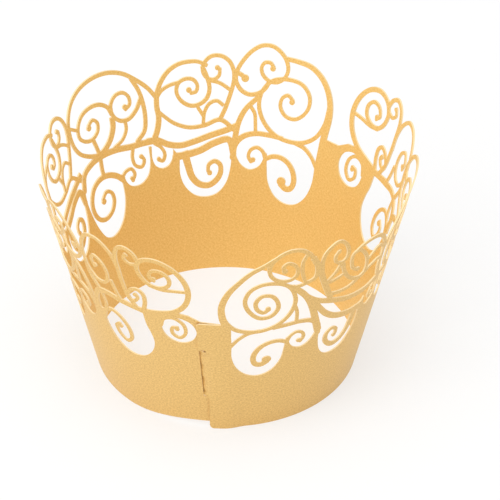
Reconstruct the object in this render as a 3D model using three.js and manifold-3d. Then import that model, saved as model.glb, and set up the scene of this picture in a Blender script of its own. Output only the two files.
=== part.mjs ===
// Filigree cupcake wrapper: one flat card blank, laser cut, rolled to a cone and
// closed by a tongue pushed through a slit. Millimetres, +Z up, the foot on z = 0.
// The blank is drawn in card coordinates: u in degrees round the cup, counted from
// the seam towards the right as seen from outside, and h in mm up the slope.
import * as THREE from 'three';
import { mergeVertices } from 'three/addons/utils/BufferGeometryUtils.js';
import Module from 'manifold-3d';

const wasm = await Module();
wasm.setup();

// Driving dimensions of the rolled cup
const footRadius = 25;
const flarePerHeight = 0.2416;
const cardThickness = 0.3;
const seamAngle = -8;
const fullTurn = 360;
const halfTurn = 180;
const crownTop = 50.1;

// Plain band, closing strip and foot edge
const stripTop = 0.623 * crownTop;
const stripRight = 9.7;
const leftEnd = 367;
const leftFootRise = 1.6;
const leftRiseFrom = 322;
const footStep = 6;
const footCorner = 1;
const footSnap = 0.03;

// Tongue and slit
const tongueLow = 9.6;
const tongueHigh = 22.8;
const tongueReach = -4.8;
const notch = 0.8;
const underlapGap = 0.3;
const dipHalf = 1.15;
const slitHalf = 0.95;
const slitSpare = 0.4;
const dipAtTop = 0.05;
const dipLeanPerMm = 0.052;
const easeFrom = 8;
const easeTo = 17;

// Drawing of the scrolls
const drawnBend = 0.05;
const edgeBend = 0.14;
const rollBend = 0.1;
const root = 1.5;
const stem = 1.2;
const main = 0.85;
const fine = 0.68;

// Cone helpers
const flare = Math.atan(flarePerHeight);
const sinFlare = Math.sin(flare);
const cosFlare = Math.cos(flare);
const apex = footRadius / sinFlare;
const radial = cardThickness / cosFlare;
const lift = radial + underlapGap;
const rad = Math.PI / 180;

// A card point (u, h) on the flat sheet
const flat = (u, h) => {
  const a = u * rad * sinFlare;
  return new THREE.Vector3((apex + h) * Math.sin(a), (apex + h) * Math.cos(a), 0);
};
const onFoot = (h) => Math.abs(h) < footSnap;
const unflat = (x, y) => {
  const h = Math.hypot(x, y) - apex;
  return [Math.atan2(x, y) / rad / sinFlare, onFoot(h) ? 0 : h];
};

const ease = (x) => {
  const t = Math.min(Math.max(x, 0), 1);
  return t * t * (3 - 2 * t);
};
const dipLine = (h) => dipAtTop + (tongueHigh - h) * dipLeanPerMm;

// Distance of the sheet outside the plain cone: the right end lies over the left end
// and its tongue dips through the slit to the inside
const offset = (u, h) => {
  if (u > halfTurn) return 0;
  if (u > easeFrom) return lift * (1 - ease((u - easeFrom) / (easeTo - easeFrom)));
  const inTongue = h < tongueHigh + notch / 2 && h > tongueLow - notch / 2;
  if (!inTongue) return lift;
  const x = (u - dipLine(h)) / dipHalf;
  return lift * (2 * ease((x + 1) / 2) - 1);
};

// Rolled position of a card point, side = +1 outside face, -1 inside face
const roll = (u, h, side) => {
  const r = footRadius + h * sinFlare + offset(u, h) + (side * radial) / 2;
  const t = (u + seamAngle) * rad;
  return new THREE.Vector3(r * Math.sin(t), -r * Math.cos(t), h * cosFlare);
};

// Keep only the points of a dense line that hold its shape to within a tolerance
const thin = (pts, keep, a, b, tolerance) => {
  let far = 0;
  let at = -1;
  const chord = new THREE.Line3(pts[a], pts[b]);
  const foot = new THREE.Vector3();
  for (let i = a + 1; i < b; i += 1) {
    chord.closestPointToPoint(pts[i], true, foot);
    const d = foot.distanceTo(pts[i]);
    if (d > far) {
      far = d;
      at = i;
    }
  }
  if (far < tolerance) return;
  keep.add(at);
  thin(pts, keep, a, at, tolerance);
  thin(pts, keep, at, b, tolerance);
};
const kept = (pts, pinned, tolerance) => {
  const keep = new Set(pinned);
  for (let i = 1; i < pinned.length; i += 1) thin(pts, keep, pinned[i - 1], pinned[i], tolerance);
  return [...keep].sort((p, q) => p - q);
};
const curve = (points, closed = false) => {
  const c = new THREE.CatmullRomCurve3(points.map((p) => flat(...p)), closed, 'centripetal');
  const count = Math.ceil(c.getLength() / 0.15);
  const dense = c.getPoints(count);
  return { dense, index: kept(dense, [0, Math.round(count / 2), count], drawnBend) };
};

// Flat outline to a sheet of card thickness
const plate = (outline) => {
  const shape = new THREE.Shape(outline.map((p) => new THREE.Vector2(p.x, p.y)));
  const raw = new THREE.ExtrudeGeometry(shape, { depth: cardThickness, bevelEnabled: false });
  raw.deleteAttribute('normal');
  raw.deleteAttribute('uv');
  const g = mergeVertices(raw, 1e-5);
  return new wasm.Manifold(new wasm.Mesh({
    numProp: 3,
    vertProperties: new Float32Array(g.attributes.position.array),
    triVerts: new Uint32Array(g.index.array),
  }));
};

// One scroll line of tapering width with a round far end
const stroke = (points, from, to = from) => {
  const { dense, index } = curve(points);
  const last = dense.length - 1;
  const left = [];
  const right = [];
  for (const i of index) {
    const d = dense[Math.min(i + 1, last)].clone().sub(dense[Math.max(i - 1, 0)]).normalize();
    const half = (from + (to - from) * (i / last)) / 2;
    left.push(new THREE.Vector3(dense[i].x - d.y * half, dense[i].y + d.x * half, 0));
    right.push(new THREE.Vector3(dense[i].x + d.y * half, dense[i].y - d.x * half, 0));
  }
  const d = dense[last].clone().sub(dense[last - 1]).normalize();
  const nose = [60, 0, -60].map((deg) => {
    const a = Math.atan2(d.y, d.x) + deg * rad;
    return new THREE.Vector3(Math.cos(a), Math.sin(a), 0).multiplyScalar(to / 2).add(dense[last]);
  });
  return plate([...left, ...nose, ...right.reverse()]);
};
const bead = (u, h, radius) => {
  const c = flat(u, h);
  const ring = [...Array(8).keys()].map((k) => new THREE.Vector3(
    c.x + radius * Math.cos(k * Math.PI / 4), c.y + radius * Math.sin(k * Math.PI / 4), 0));
  return plate(ring);
};

// Bowls: the scalloped upper edge of the plain band, left to right
const bowls = {
  A: [
    [[10.2, 25.6], [10.4, 21], [12.5, 17.7], [16.2, 15.6], [20.5, 15.1], [25, 16.1], [28.2, 18.7],
      [29.1, 21.8], [29.4, 24.8]],
    [[30.4, 25.2], [30.9, 23.3], [32.6, 21.8], [35.7, 21.1], [38.7, 21.9], [40.7, 23.8], [41.2, 26]],
  ],
  C: [
    [[42.4, 25.8], [42.8, 21.5], [44.6, 18], [48, 15.9], [52, 15.3], [56.5, 15.8], [60.3, 17.9],
      [62, 20.7], [61.7, 24.5]],
    [[63.8, 26.3], [64.3, 24.6], [66, 23.2], [68.5, 22.8], [71, 23.6], [72.2, 25.3], [72, 28]],
  ],
  E: [
    [[73, 28], [73.2, 24.5], [74.7, 22.2], [78, 21], [82, 21.3], [84.3, 22.8], [85, 24.6]],
    [[86.2, 24.6], [85.9, 20.5], [86.7, 18], [89, 15.4], [92.5, 13.8], [96, 13.4], [99.5, 14.3],
      [102.5, 16.8], [104.7, 20.3], [105.8, 24], [105.4, 27.5]],
  ],
  K: [
    [[-38.8, 26], [-38.4, 22.5], [-35.6, 19.2], [-31.5, 17.3], [-27, 16.8], [-22.5, 17.6],
      [-19, 19.8], [-17.4, 22.6], [-18, 25.1], [-19.3, 27.4], [-20, 30.5]],
  ],
};

// Rise of the band from the last bowl of K to the strip, and the round window in it
const stripShoulder = [[-14, 31.8], [-8.3, 33], [-4, 32.6]];
const windowMiddle = [-7.6, 28];
const windowHalf = [6.1, 3.6];
const windowPoints = 8;

// Scroll lines: [points, width at the start, width at the end]
const scrolls = {
  A: [
    [[[9.7, 24.6], [12.3, 26.5], [15.5, 27.8], [19, 28.3]], fine, main],
    [[[30.2, 23.6], [27, 24.5], [23.8, 24.5], [20.7, 23.6], [18.6, 21.9], [18, 20], [19, 18.6],
      [21, 18.3], [23, 19]], main, stem],
    [[[30, 23.8], [31, 25.2], [33.2, 25.9], [35.5, 25.2], [36.2, 23.8], [35.2, 22.8]], fine, fine],
    [[[24, 28.6], [29, 28.8], [34, 28.8], [38.3, 28], [41.2, 26.2], [42, 23.5]], main, stem],
  ],
  crestA: [
    [[[8.6, 26], [8.6, 30], [7.2, 33.2], [7, 36.5], [9.1, 40.4], [12.4, 43.2], [15.9, 45.4],
      [19.4, 46.9], [23.3, 48.8]], root, main],
    [[[7.2, 34.5], [8.3, 32], [11.6, 29.5], [16.4, 28.3], [21.4, 28.4], [26.4, 29.7], [29.8, 32.3],
      [30.8, 35.6], [28.6, 39.4], [25.8, 41], [22.2, 41.7], [19, 41.6], [15.7, 40.2], [14.2, 37.5],
      [15.6, 34.4], [19.2, 32.1], [22.9, 32.2], [25.1, 34.1], [24.4, 36.6], [22.2, 38.2],
      [19.5, 38.3], [17.7, 36.7], [18.3, 34.6], [20.4, 33.6], [22, 34.3]], main, main],
    [[[21.4, 47.3], [23.3, 48.8], [25.2, 49.7], [27.5, 50.1], [30.7, 49.5], [33.5, 47.7],
      [35.7, 45.2], [36.8, 42.6], [36.4, 40.6], [33.5, 39.8], [30.2, 39.5], [27.5, 40.2]], main, main],
    [[[21.9, 47.8], [21.1, 46.1], [21.7, 44], [23.4, 42.6], [26, 41.8], [28.5, 41.9], [29.9, 42.9],
      [30, 44.4], [28.5, 46], [26.5, 46.7], [25.4, 46], [25.6, 44.8]], main, fine],
    [[[32.5, 48.2], [31.4, 46.2], [31.5, 44.2], [32.2, 42.1], [33.5, 39.8]], fine, fine],
    [[[34.7, 46.5], [37.5, 43], [39.2, 40], [41.5, 36.5], [44.2, 32.9]], stem, stem],
    [[[28.8, 39.8], [33, 37.1], [35.8, 34.4], [37.8, 31.6], [39.7, 28.2], [41.8, 24.5]], stem, root],
    [[[30.6, 34.6], [32, 32], [32.4, 29]], fine, fine],
  ],
  backA: [
    [[[8.6, 26], [8.4, 31], [7.6, 36.5], [8.8, 40], [12, 43], [16.5, 44.8], [21, 45.2], [25, 45.3]],
      root, main],
    [[[8.2, 37.5], [8.8, 34.3], [11.5, 30.9], [16, 28.9], [21, 28.3], [26.5, 28.9], [31, 31.2],
      [33.2, 34.6], [32.3, 37.9], [29, 40.3], [24, 41.1], [19, 40.7], [16.1, 38.9], [15.7, 36.6],
      [17.4, 34.5], [20.4, 33.2], [23.7, 33.4], [25.8, 35.1], [25.4, 37], [23.5, 37.8],
      [21.7, 37]], main, fine],
    [[[30.3, 40], [31.3, 38.6], [33.6, 37.3], [36.8, 36.9], [39.6, 37.8], [41.2, 39.8], [40.6, 42],
      [38.6, 44.2], [36, 46.1], [33, 47.3], [29.8, 47.4], [27, 46.4], [25, 44.8], [24.3, 42.9],
      [25.3, 41.2], [27.6, 40.1], [30.2, 40.1], [32.4, 41.2], [33, 42.7], [32, 43.8], [30.2, 43.9],
      [29.1, 43.1]], main, fine],
    [[[41, 41.2], [39.7, 41], [38.5, 40.4]], main, main],
    [[[32.7, 37], [35, 35.6], [37.7, 33.8], [39.9, 31.2], [41, 28.4], [41.8, 25]], main, stem],
    [[[34, 28.8], [34.2, 31], [34.6, 33], [36.3, 34.6]], fine, fine],
  ],
  C: [
    [[[59.8, 25.4], [58.7, 22.3], [57.4, 19.7], [54.8, 18.1], [51.3, 17.7], [48.2, 18.7],
      [46.5, 20.4], [46.8, 22], [48.7, 22.7], [50.9, 22], [51.3, 20.7]], root, fine],
    [[[70.8, 28.5], [68.3, 27.2], [67.2, 25.6], [68.2, 24.4], [69.8, 24.8]], fine, fine],
    [[[50.4, 42.8], [53.4, 43.8], [56.3, 44], [59.6, 43.8], [63, 42.8], [65.8, 41], [67.7, 38.6],
      [68.3, 36], [68, 33.6], [68.9, 31.2], [70.8, 29]], fine, stem],
  ],
  crestC: [
    [[[38, 33.4], [41, 30.6], [44, 28.4], [48, 26.6], [54, 25.2], [60, 24.6], [63, 24.6]], stem, root],
    [[[30.3, 39], [33.1, 36.9], [35.2, 35.4], [38.5, 33.7], [42.8, 32.3], [48.3, 30.9], [53.3, 29.8],
      [58, 29.2], [63, 28.8], [68, 29], [73, 29.3]], stem, stem],
    [[[39.2, 40], [38.2, 44.5], [38.7, 46.5], [40.4, 48], [42.6, 48.7], [45.5, 47.4], [47.5, 44.8],
      [47.4, 42.9], [45.8, 42.1], [43.6, 42.8], [42.7, 44.8], [43.8, 45.8]], main, fine],
    [[[45.8, 42.4], [46.5, 41.4], [47.9, 38.9], [50.9, 36.2], [54.3, 34.7], [57.8, 34.4],
      [58.9, 36.2], [57.8, 39], [55, 41.7], [52.2, 43.1], [50.3, 42.7], [50.2, 40.8], [51.7, 38.4],
      [54.5, 37.1]], main, fine],
    [[[43, 34], [48.2, 33.3], [52.6, 33.4], [57.5, 34.6], [62, 35.4], [65.4, 35.6], [68.2, 35]],
      main, fine],
    [[[40.8, 37.6], [44.2, 39.9], [45.8, 42.1]], fine, fine],
    [[[41, 37.4], [45.7, 37.8], [48.3, 38.3]], fine, fine],
    [[[58.4, 38], [63.3, 39.7], [66.2, 38.9], [68.3, 37.4]], fine, fine],
  ],
  backC: [
    [[[41.7, 24], [43.5, 27.2], [48.5, 26.6], [54, 25.2], [60, 24.6], [63, 24.6]], stem, root],
    [[[40.3, 30.3], [44, 29.3], [50, 28.2], [56, 27.2], [61, 26.8], [65.5, 27.5], [69.5, 28.9],
      [73, 29.3]], stem, stem],
    [[[41, 29], [46.5, 31.4], [52, 30.4], [57.5, 30.3], [62.5, 31.6], [65.7, 33.3], [68.2, 35]],
      main, fine],
    [[[46.6, 31.4], [44.7, 33.8], [43.1, 36.6], [41.9, 39.5], [42, 41.8], [43.6, 43.8], [46.3, 44.8],
      [49.2, 44.7], [51.5, 43.3], [51.9, 41.6], [50.5, 40.2], [48.4, 39.9], [46.7, 40.7],
      [46.4, 42]], main, fine],
    [[[52.1, 42.8], [50.7, 40.6], [49.9, 38], [51, 36], [53.5, 34.9], [56.5, 34.8], [59.5, 36],
      [61, 38], [60.2, 39.8], [57.8, 40.5], [55.3, 40.2], [53.9, 38.9], [54.5, 37.6], [56.1, 37.4]],
      main, fine],
    [[[42.9, 37.6], [46.5, 39.1], [50.3, 39.8]], fine, fine],
    [[[59.8, 40], [63.3, 39.7], [66.2, 38.9], [68.3, 37.4]], fine, fine],
    [[[45.3, 34.4], [47.6, 35.4], [50, 34.9], [51.8, 33.2], [52.4, 30.8]], fine, fine],
    [[[52.3, 32.4], [54, 34.2]], fine, fine],
  ],
  E: [
    [[[71, 29], [75, 29.2], [80, 29.4], [86, 30.1], [92, 30.5], [98, 30.4], [103.5, 29.3],
      [105.6, 26.5]], stem, stem],
    [[[68, 37.6], [70.8, 40.2], [74.6, 42.6], [79.2, 44.9], [84.7, 46.3], [90.7, 46.7], [97, 46.1],
      [101.7, 44.5], [104.8, 41.8], [105.7, 38.8], [105, 36.1], [102.8, 33.9], [99, 32.2],
      [94.5, 31]], main, main],
    [[[76.2, 43.2], [74.1, 40.3], [73.1, 37.4], [72.9, 34.2], [73.9, 31.6], [77, 30]], main, main],
    [[[73.6, 38.6], [76, 36.4], [79.2, 35.2], [82.6, 35.6], [85.1, 37.4], [85.1, 39.6], [82.9, 41],
      [80, 41], [78, 39.7], [78, 38.1], [79.8, 37.4]], main, fine],
    [[[80.7, 35.6], [80.8, 33.2], [83, 31.5], [86.6, 30.7]], fine, fine],
    [[[85.5, 37], [85.8, 35], [87.8, 32.8], [91, 31.4], [94, 30.8]], stem, stem],
    [[[85.3, 37.5], [86.7, 39.5], [90, 40.9], [94.3, 41.3], [98.3, 40.7], [101, 38.9], [101.2, 36.9],
      [98.7, 35.4], [95.4, 34.9], [92.5, 35.8], [91.9, 37.5], [93.8, 38.6], [95.9, 38]], main, fine],
    [[[101, 38.5], [103.6, 39.6], [105.5, 40.5]], fine, fine],
    [[[95.4, 35], [94.5, 33], [93.8, 31]], main, main],
    [[[79.3, 28.9], [80.1, 27], [79.3, 25.2], [76.8, 24.5], [75.5, 25.6], [76.3, 26.7]], fine, fine],
    [[[86.2, 23.6], [84, 24.8], [81.4, 24.9], [80.2, 23.6], [81.4, 22.4]], fine, fine],
    [[[93.8, 30.2], [94.1, 28], [94, 26.2]], main, main],
    [[[85.4, 23.4], [88.4, 25], [92.5, 26.1], [96.6, 26.2], [100.5, 25.2], [103, 22.9], [102.9, 20.4],
      [100.6, 18.5], [97, 17.8], [93.5, 18.5], [91.5, 20.3], [92, 22.2], [94.5, 23], [96.9, 22]],
      stem, fine],
  ],
  K: [
    [[[-40.6, 25], [-40.8, 28.5], [-38.5, 31.2], [-34, 32], [-28, 31.6], [-22, 31.3], [-16, 30.8]],
      stem, stem],
    [[[-27.5, 31.8], [-21.5, 31.3], [-14, 31.9], [-8.3, 33.2], [-4.6, 35.7], [-3.3, 39], [-4.6, 42.6],
      [-8.3, 45.6], [-13, 46.8], [-17.2, 46], [-19.2, 43.9], [-18.5, 41.5], [-15.8, 39.6],
      [-12.2, 39.3], [-9.3, 40.6], [-9.2, 42.6], [-11.6, 44], [-14.3, 43.6], [-15.4, 42],
      [-14, 41]], stem, fine],
    [[[-18.3, 45.1], [-19.9, 47.2], [-22.6, 48.1], [-25.2, 47.1], [-26.5, 44.6], [-26.3, 41],
      [-25.8, 37.5], [-24.8, 34.4], [-22.2, 31.6]], main, main],
    [[[-19.4, 44.3], [-21.6, 44], [-23.3, 45], [-22.6, 46.3]], fine, fine],
    [[[-26.2, 38.5], [-26.6, 41.7], [-28.7, 45], [-32.6, 47.1], [-37, 46.7], [-40.2, 44.2],
      [-41.5, 40.3], [-40.4, 36.7], [-37, 34.7], [-33.5, 35.1], [-31.8, 37.6], [-33.2, 40.5],
      [-36, 41.5], [-37.8, 40.1], [-37, 38.3]], main, fine],
    [[[-41.3, 39], [-40.7, 35], [-38, 32.2]], main, main],
    [[[-30.8, 36.6], [-29.7, 34], [-28.2, 31.8]], fine, fine],
    [[[-19.4, 31.7], [-18.5, 34], [-18.8, 36.1], [-20.7, 37], [-23.4, 36.1], [-24.8, 34.4],
      [-24, 33.3], [-22.2, 33.5], [-21, 34.6], [-21.6, 35.4]], main, fine],
    [[[-3.4, 39.4], [-7.4, 39.2], [-11.7, 38.9], [-15.7, 39.3]], fine, fine],
    [[[-39, 23.8], [-37.4, 26.1], [-34, 27.3], [-30.2, 26.3], [-27.5, 23.8], [-27.4, 21.2],
      [-29.8, 20], [-32.6, 21.2], [-33.5, 23.2], [-31.8, 24.2]], main, fine],
    [[[-37.6, 25.8], [-36.3, 28.3], [-37, 30.9]], fine, fine],
    [[[-13.9, 28.3], [-12.4, 30.6], [-9, 31.2], [-5.9, 29.8], [-5.4, 27.2], [-7.6, 25.8], [-9.9, 26.7],
      [-9.8, 28.5], [-8, 28.7]], fine, fine],
  ],
};

// Beads at the curled ends
const beads = {
  A: [[23, 19.6, 0.9], [34.5, 23.2, 0.5]],
  crestA: [[21.8, 34.6, 0.5], [25.9, 44.6, 0.55]],
  backA: [[21.9, 36.6, 0.55], [29.3, 42.8, 0.55], [38.2, 40.2, 0.75]],
  C: [[50.7, 20.3, 0.5], [69.7, 25, 0.4]],
  crestC: [[43.6, 45.6, 0.5], [54.2, 37.3, 0.5]],
  backC: [[47.2, 42.3, 0.5], [56.8, 38.1, 0.55]],
  E: [[79.9, 37.9, 0.55], [96, 37.5, 0.6], [76.5, 26.6, 0.45], [81.7, 22.9, 0.4], [96.7, 21.5, 0.6]],
  K: [[-14.1, 41.5, 0.5], [-22.3, 46.1, 0.4], [-36.5, 38.8, 0.5], [-21.8, 35.2, 0.45],
    [-31.5, 23.6, 0.55], [-8.2, 28.2, 0.45]],
};

// Order of the groups round the cup and how far each is turned. The tables are drawn for the
// height of their own tallest line, and follow crownTop.
const layout = [['A', 0], ['crestA', 0], ['C', 0], ['crestC', 0], ['E', 0], ['K', 146], ['A', 144],
  ['backA', 144], ['C', 144], ['backC', 144], ['E', 144], ['C', 209], ['backC', 209], ['A', 275.5],
  ['backA', 275.5], ['K', fullTurn]];
const drawnTop = Math.max(...Object.values(scrolls).flat().flatMap(([points]) => points.map(([, h]) => h)));
const tall = crownTop / drawnTop;
const turned = (points, by) => points.map(([u, h]) => [u + by, h * tall]);
const onCard = (points, closed) => {
  const { dense, index } = curve(points, closed);
  return index.map((i) => dense[i]);
};

// Outline of the plain band with the closing strip, the tongue and the foot edge
const outline = [];
const line = (...points) => points.forEach((p) => outline.push(flat(...p)));
const endEdge = dipLine(tongueLow) + dipHalf;
line([endEdge - 0.3, footCorner], [endEdge, tongueLow - notch]);
line([endEdge - 0.5, tongueLow], [tongueReach + 2, tongueLow]);
line([tongueReach + 0.3, tongueLow + 0.7], [tongueReach, tongueLow + 2.5]);
line([tongueReach, tongueHigh - 2], [tongueReach + 0.5, tongueHigh - 0.6], [tongueReach + 2, tongueHigh]);
line([dipAtTop + dipHalf, tongueHigh], [dipAtTop + dipHalf + 0.3, tongueHigh + notch / 2]);
line([dipAtTop + dipHalf, tongueHigh + notch], [dipAtTop - dipHalf, tongueHigh + notch]);
line([dipAtTop - dipHalf - 0.2, stripTop - 0.5], [dipAtTop - dipHalf + 0.6, stripTop]);
line([4.2, stripTop], [stripRight, stripTop]);
for (const [name, by] of layout) {
  for (const bowl of bowls[name] ?? []) outline.push(...onCard(turned(bowl, by)));
  if (name === 'K') line(...turned(stripShoulder, by), [by, stripTop]);
  if (name === 'K' && by < halfTurn) line([by + stripRight - 2, stripTop]);
}
line([leftEnd, stripTop - 0.5], [leftEnd, leftFootRise]);
const footHeight = (u) => leftFootRise * ease((u - leftRiseFrom) / (fullTurn - leftRiseFrom));
for (let u = fullTurn; u > footStep; u -= footStep) line([u, footHeight(u)]);
line([endEdge + 1.6, 0]);

let sheet = plate(outline);
const cut = (points) => {
  sheet = sheet.subtract(plate(points.slice(0, -1)));
};

// Round windows in the left strip, and the slit
const windowRing = [...Array(windowPoints).keys()].map((k) => [
  windowMiddle[0] + windowHalf[0] * Math.cos((k * fullTurn * rad) / windowPoints),
  windowMiddle[1] + windowHalf[1] * Math.sin((k * fullTurn * rad) / windowPoints)]);
for (const [name, by] of layout) {
  if (name === 'K') cut(onCard(turned(windowRing, by), true));
}
const slitFoot = tongueLow - slitSpare;
const slitHead = tongueHigh + slitSpare;
cut([
  flat(fullTurn + dipLine(slitFoot) - slitHalf, slitFoot),
  flat(fullTurn + dipLine(slitFoot) + slitHalf, slitFoot),
  flat(fullTurn + dipLine(slitHead) + slitHalf, slitHead),
  flat(fullTurn + dipLine(slitHead) - slitHalf, slitHead),
  flat(fullTurn, slitFoot),
]);

// Scroll lines and beads over the band
for (const [name, by] of layout) {
  for (const [points, from, to] of scrolls[name]) sheet = sheet.add(stroke(turned(points, by), from, to));
  for (const [u, h, radius] of beads[name] ?? []) sheet = sheet.add(bead(u + by, h * tall, radius));
}

// Outlines of the cut sheet: the free edges of its upper face, chained and thinned
const solid = sheet.getMesh();
const corner = (v) => {
  const k = v * solid.numProp;
  return new THREE.Vector3(solid.vertProperties[k], solid.vertProperties[k + 1], 0);
};
const onTop = (v) => solid.vertProperties[v * solid.numProp + 2] > cardThickness / 2;
const ways = new Set();
for (let f = 0; f < solid.triVerts.length; f += 3) {
  const [a, b, c] = solid.triVerts.slice(f, f + 3);
  if (onTop(a) && onTop(b) && onTop(c)) [`${a} ${b}`, `${b} ${c}`, `${c} ${a}`].forEach((e) => ways.add(e));
}
const after = new Map();
for (const way of ways) {
  const [a, b] = way.split(' ').map(Number);
  if (!ways.has(`${b} ${a}`)) after.set(a, [...(after.get(a) ?? []), b]);
}
const loops = [];
while (after.size) {
  const start = after.keys().next().value;
  const loop = [];
  let v = start;
  do {
    loop.push(corner(v));
    const choice = after.get(v);
    const next = choice.pop();
    if (choice.length === 0) after.delete(v);
    v = next;
  } while (v !== start);
  const ring = [...loop, loop[0]];
  const far = ring.reduce((best, p, i) => (
    p.distanceTo(loop[0]) > ring[best].distanceTo(loop[0]) ? i : best), 0);
  const pinned = new Set([0, far, loop.length]);
  loop.forEach((p, i) => onFoot(Math.hypot(p.x, p.y) - apex) && pinned.add(i));
  const order = [...pinned].sort((p, q) => p - q);
  loops.push(kept(ring, order, edgeBend).slice(0, -1).map((i) => ring[i]));
}

// The flat net: the outlines filled with triangles
const net = { points: [], faces: [] };
const plane = (loop) => loop.map((p) => new THREE.Vector2(p.x, p.y));
const windows = loops.filter((loop) => THREE.ShapeUtils.isClockWise(plane(loop)) && loop.length > 2);
const rim = loops.find((loop) => !THREE.ShapeUtils.isClockWise(plane(loop)));
for (const loop of [rim, ...windows]) net.points.push(...loop.map((p) => unflat(p.x, p.y)));
net.faces = THREE.ShapeUtils.triangulateShape(plane(rim), windows.map(plane));

// Turn the shared edge of two triangles wherever that makes them rounder
const edgeKey = (a, b) => (a < b ? `${a} ${b}` : `${b} ${a}`);
const area = (a, b, c) => (b.x - a.x) * (c.y - a.y) - (b.y - a.y) * (c.x - a.x);
const angleAt = (p, a, b) => {
  const u = a.clone().sub(p);
  const v = b.clone().sub(p);
  return u.angleTo(v);
};
const rounder = (faces) => {
  const place = net.points.map((p) => flat(...p));
  const owners = new Map();
  const own = (f) => faces[f].forEach((a, i) => {
    const key = edgeKey(a, faces[f][(i + 1) % 3]);
    if (!owners.has(key)) owners.set(key, new Set());
    owners.get(key).add(f);
  });
  const disown = (f) => faces[f].forEach((a, i) => {
    owners.get(edgeKey(a, faces[f][(i + 1) % 3])).delete(f);
  });
  faces.forEach((face, f) => own(f));
  const waiting = [...owners.keys()];
  while (waiting.length) {
    const key = waiting.pop();
    const pair = [...(owners.get(key) ?? [])];
    if (pair.length === 2) {
      const [a, b] = key.split(' ').map(Number);
      const [c, d] = pair.map((f) => faces[f].find((v) => v !== a && v !== b));
      const open = angleAt(place[c], place[a], place[b]) + angleAt(place[d], place[a], place[b]);
      const sides = [area(place[c], place[d], place[a]), area(place[c], place[d], place[b])];
      const fits = sides[0] * sides[1] < 0 && Math.min(...sides.map(Math.abs)) > 1e-4;
      if (open > Math.PI + 1e-6 && fits && !owners.get(edgeKey(c, d))?.size) {
        pair.forEach(disown);
        const [low, high] = sides[0] > 0 ? [a, b] : [b, a];
        faces[pair[0]] = [c, d, low];
        faces[pair[1]] = [d, c, high];
        pair.forEach(own);
        waiting.push(edgeKey(a, c), edgeKey(a, d), edgeKey(b, c), edgeKey(b, d));
      }
    }
  }
};
rounder(net.faces);

// Halve every edge that would cut a corner off the rolled surface
const cutsCorner = (a, b) => {
  const p = net.points[a];
  const q = net.points[b];
  const from = roll(...p, 0);
  const to = roll(...q, 0);
  return [0.25, 0.5, 0.75].some((t) => {
    const fa = flat(...p).lerp(flat(...q), t);
    return roll(...unflat(fa.x, fa.y), 0).distanceTo(from.clone().lerp(to, t)) > rollBend;
  });
};
const midpoint = new Map();
const middle = (a, b) => {
  const key = edgeKey(a, b);
  if (!midpoint.has(key)) {
    let found = -1;
    if (cutsCorner(a, b)) {
      const m = flat(...net.points[a]).lerp(flat(...net.points[b]), 0.5);
      found = net.points.push(unflat(m.x, m.y)) - 1;
    }
    midpoint.set(key, found);
  }
  return midpoint.get(key);
};
let queue = net.faces;
const done = [];
while (queue.length) {
  const next = [];
  for (const [a, b, c] of queue) {
    const mids = [middle(a, b), middle(b, c), middle(c, a)];
    const sides = [[a, b, c], [b, c, a], [c, a, b]];
    const long = [0, 1, 2].filter((i) => mids[i] >= 0);
    if (long.length === 0) {
      done.push([a, b, c]);
    } else {
      const span = (i) => flat(...net.points[sides[i][0]]).distanceTo(flat(...net.points[sides[i][1]]));
      const pick = long.reduce((i, j) => (span(i) > span(j) ? i : j));
      const [p, q, r] = sides[pick];
      next.push([p, mids[pick], r], [mids[pick], q, r]);
    }
  }
  queue = next;
}

// Roll the net: outside face, inside face and the cut edges between them
const count = net.points.length;
const position = [];
for (const side of [1, -1]) {
  for (const [u, h] of net.points) position.push(...roll(u, h, side).toArray());
}
const index = [];
const edges = new Set();
for (const [a, b, c] of done) {
  [[a, b], [b, c], [c, a]].forEach(([p, q]) => edges.add(`${p} ${q}`));
}
for (const [a, b, c] of done) {
  index.push(a, b, c, a + count, c + count, b + count);
  for (const [p, q] of [[a, b], [b, c], [c, a]]) {
    if (!edges.has(`${q} ${p}`)) index.push(q, p, p + count, q, p + count, q + count);
  }
}
const geometry = new THREE.BufferGeometry();
geometry.setAttribute('position', new THREE.Float32BufferAttribute(position, 3));
geometry.setIndex(index);

const pearlCard = new THREE.MeshStandardMaterial({ color: '#e8c384', roughness: 0.42, metalness: 0.35 });
const wrapper = new THREE.Mesh(geometry, pearlCard);
wrapper.name = 'card_wrapper';
const group = new THREE.Group();
group.add(wrapper);
export default group;
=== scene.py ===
# %% [markdown]
# # A laser-cut card wrapper for a cupcake
#
# The real thing is one flat sheet of gold pearl card. A laser cuts a plain foot band with a rim of scrolls, and
# the sheet is rolled to a cone and closed by a tongue pushed through a slit. This lesson draws the flat sheet as
# overlapping outlines, joins them in the plane, rolls the result with one formula and gives it the card finish.

# %% Tools and the fixed frame
from math import radians

import bpy
import numpy as np
from mathutils import Matrix, Vector
from mathutils.geometry import delaunay_2d_cdt


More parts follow.
